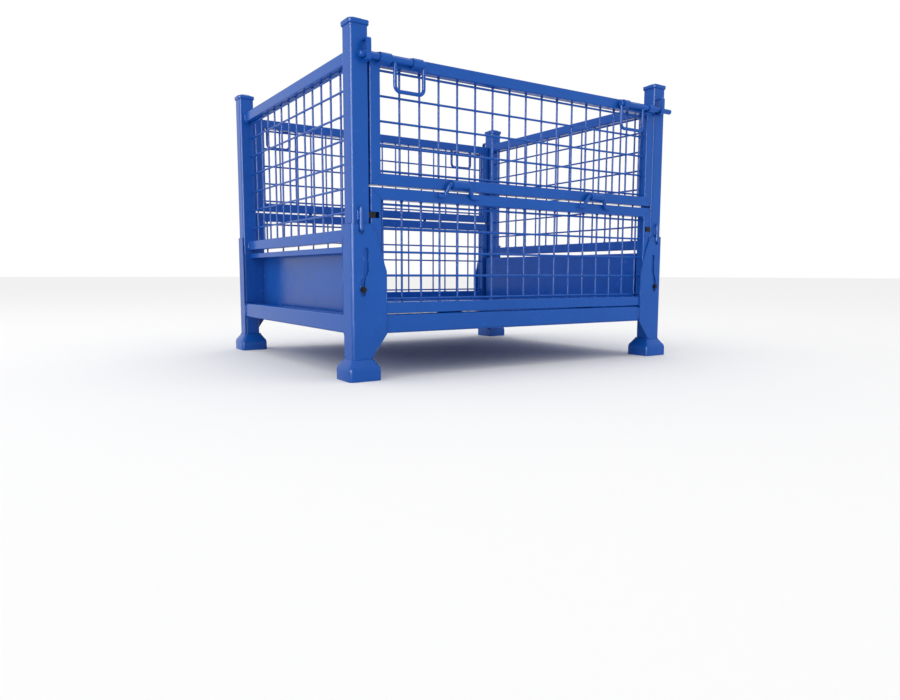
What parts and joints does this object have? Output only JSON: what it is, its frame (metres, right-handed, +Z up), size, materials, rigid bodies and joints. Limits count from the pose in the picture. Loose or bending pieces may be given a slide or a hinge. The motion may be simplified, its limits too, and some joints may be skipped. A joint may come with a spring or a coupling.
{
  "type": "wire mesh container",
  "caption": "Stacking steel mesh container on cup feet, with drop-down upper gates, sliding latch rods and mesh end frames in corner sockets.",
  "frame": {"origin": "on the floor, under the middle of the container", "axes": "+Z up; +X along the long side, to the right when facing the front wall; the front wall faces -Y"},
  "size_m": [1.2, 1.012, 0.912],
  "materials": {
    "painted_frame": "satin",
    "painted_plate": "satin",
    "painted_mesh": "satin",
    "painted_hardware": "satin",
    "black_steel": "satin"
  },
  "bodies": {
    "base": {"base_rail_back": "painted_frame", "base_rail_front": "painted_frame", "base_rail_left": "painted_frame", "base_rail_right": "painted_frame", "deck_bearers": "painted_frame", "deck_sheet": "painted_plate", "end_mesh_left": "painted_mesh", "end_mesh_right": "painted_mesh", "end_rails_left": "painted_frame", "end_rails_right": "painted_frame", "foot_back_left": "painted_plate", "foot_back_right": "painted_plate", "foot_front_left": "painted_plate", "foot_front_right": "painted_plate", "hinge_rods_back": "painted_hardware", "hinge_rods_front": "painted_hardware", "keepers": "painted_hardware", "leg_back_left": "painted_frame", "leg_back_right": "painted_frame", "leg_front_left": "painted_frame", "leg_front_right": "painted_frame", "lift_hooks": "painted_hardware", "lower_gate_frame_back": "painted_frame", "lower_gate_frame_front": "painted_frame", "lower_gate_hinges_back": "painted_hardware", "lower_gate_hinges_front": "painted_hardware", "lower_gate_mesh_back": "painted_mesh", "lower_gate_mesh_front": "painted_mesh", "post_back_left": "painted_frame", "post_back_right": "painted_frame", "post_caps": "painted_plate", "post_front_left": "painted_frame", "post_front_right": "painted_frame", "side_panel_left": "painted_plate", "side_panel_right": "painted_plate", "socket_back_left": "painted_plate", "socket_back_right": "painted_plate", "socket_front_left": "painted_plate", "socket_front_right": "painted_plate", "socket_pins": "black_steel"},
    "upper_gate_front": {"upper_gate_frame_front": "painted_frame", "upper_gate_mesh_front": "painted_mesh", "hinge_saddles_front": "painted_hardware", "latch_saddles_front": "painted_hardware"},
    "upper_gate_back": {"upper_gate_frame_back": "painted_frame", "upper_gate_mesh_back": "painted_mesh", "hinge_saddles_back": "painted_hardware", "latch_saddles_back": "painted_hardware"},
    "latch_rod_front_left": {"latch_rod_front_left": "painted_hardware"},
    "latch_handle_front_left": {"latch_handle_front_left": "painted_hardware"},
    "lock_bolt_front_left": {"lock_bolt_front_left": "black_steel"},
    "latch_rod_front_right": {"latch_rod_front_right": "painted_hardware"},
    "latch_handle_front_right": {"latch_handle_front_right": "painted_hardware"},
    "lock_bolt_front_right": {"lock_bolt_front_right": "black_steel"},
    "latch_rod_back_right": {"latch_rod_back_right": "painted_hardware"},
    "latch_handle_back_right": {"latch_handle_back_right": "painted_hardware"},
    "lock_bolt_back_right": {"lock_bolt_back_right": "black_steel"},
    "latch_rod_back_left": {"latch_rod_back_left": "painted_hardware"},
    "latch_handle_back_left": {"latch_handle_back_left": "painted_hardware"},
    "lock_bolt_back_left": {"lock_bolt_back_left": "black_steel"}
  },
  "joints": [
    {"name": "upper_gate_front_hinge", "type": "hinge", "parent": "base", "child": "upper_gate_front", "pos_m": [0, -0.492, 0.52], "axis": [1, 0, 0], "range_deg": [0, 178]},
    {"name": "upper_gate_back_hinge", "type": "hinge", "parent": "base", "child": "upper_gate_back", "pos_m": [0, 0.492, 0.52], "axis": [-1, 0, 0], "range_deg": [0, 178]},
    {"name": "latch_rod_front_left_slide", "type": "slide", "parent": "upper_gate_front", "child": "latch_rod_front_left", "axis": [1, 0, 0], "range_m": [0, 0.046]},
    {"name": "latch_handle_front_left_hinge", "type": "hinge", "parent": "latch_rod_front_left", "child": "latch_handle_front_left", "pos_m": [-0.41775, -0.492, 0.8195], "axis": [1, 0, 0], "range_deg": [-195, 15]},
    {"name": "lock_bolt_front_left_slide", "type": "slide", "parent": "base", "child": "lock_bolt_front_left", "axis": [1, 0, 0], "range_m": [0, 0.011]},
    {"name": "latch_rod_front_right_slide", "type": "slide", "parent": "upper_gate_front", "child": "latch_rod_front_right", "axis": [-1, 0, 0], "range_m": [0, 0.062]},
    {"name": "latch_handle_front_right_hinge", "type": "hinge", "parent": "latch_rod_front_right", "child": "latch_handle_front_right", "pos_m": [0.409, -0.492, 0.8195], "axis": [1, 0, 0], "range_deg": [-195, 15]},
    {"name": "lock_bolt_front_right_slide", "type": "slide", "parent": "base", "child": "lock_bolt_front_right", "axis": [-1, 0, 0], "range_m": [0, 0.011]},
    {"name": "latch_rod_back_right_slide", "type": "slide", "parent": "upper_gate_back", "child": "latch_rod_back_right", "axis": [-1, 0, 0], "range_m": [0, 0.062]},
    {"name": "latch_handle_back_right_hinge", "type": "hinge", "parent": "latch_rod_back_right", "child": "latch_handle_back_right", "pos_m": [0.409, 0.492, 0.8195], "axis": [-1, 0, 0], "range_deg": [-195, 15]},
    {"name": "lock_bolt_back_right_slide", "type": "slide", "parent": "base", "child": "lock_bolt_back_right", "axis": [-1, 0, 0], "range_m": [0, 0.011]},
    {"name": "latch_rod_back_left_slide", "type": "slide", "parent": "upper_gate_back", "child": "latch_rod_back_left", "axis": [1, 0, 0], "range_m": [0, 0.046]},
    {"name": "latch_handle_back_left_hinge", "type": "hinge", "parent": "latch_rod_back_left", "child": "latch_handle_back_left", "pos_m": [-0.41775, 0.492, 0.8195], "axis": [-1, 0, 0], "range_deg": [-195, 15]},
    {"name": "lock_bolt_back_left_slide", "type": "slide", "parent": "base", "child": "lock_bolt_back_left", "axis": [1, 0, 0], "range_m": [0, 0.011]}
  ]
}
